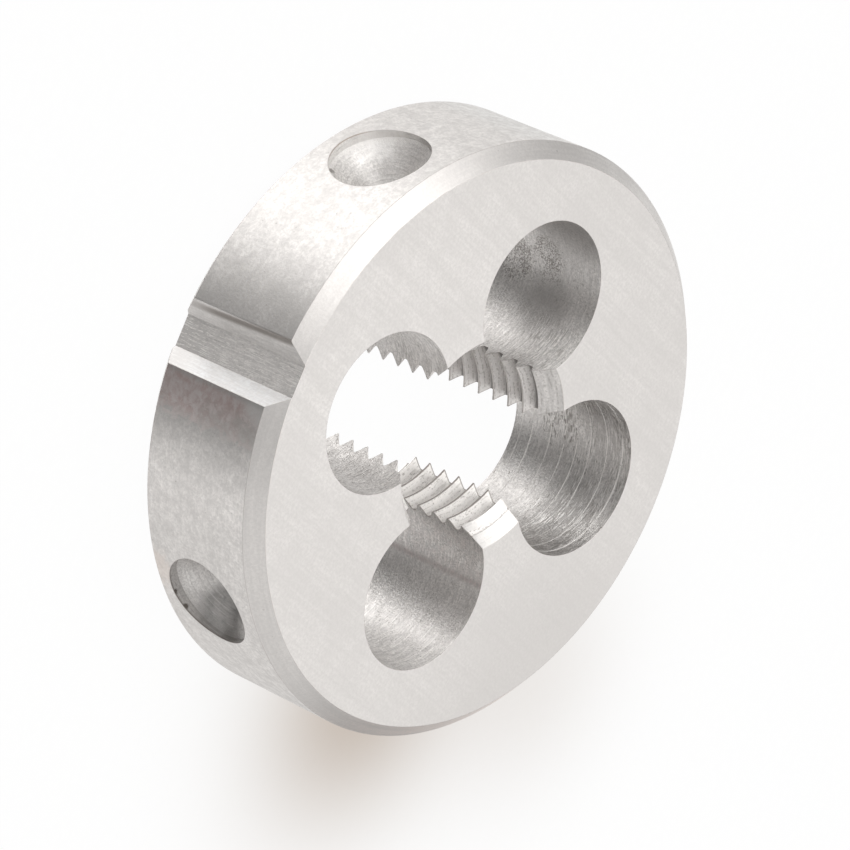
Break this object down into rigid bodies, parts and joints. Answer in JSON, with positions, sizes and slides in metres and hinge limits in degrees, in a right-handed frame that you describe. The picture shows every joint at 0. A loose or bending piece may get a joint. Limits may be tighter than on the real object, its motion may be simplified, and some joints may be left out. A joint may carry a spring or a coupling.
{
  "type": "threading die",
  "caption": "Solid round threading die with swarf holes, toothed lands, lead cones, a setting groove and conical screw seats in its rim.",
  "frame": {"origin": "on the die's axis, in its rear face", "axes": "+Z along the axis, out of the front face; the setting groove in the rim faces -Y"},
  "size_m": [0.038, 0.0379, 0.01],
  "materials": {
    "ground_steel": "ground and turned bare tool steel"
  },
  "bodies": {
    "root": {"die_body": "ground_steel"}
  },
  "joints": []
}
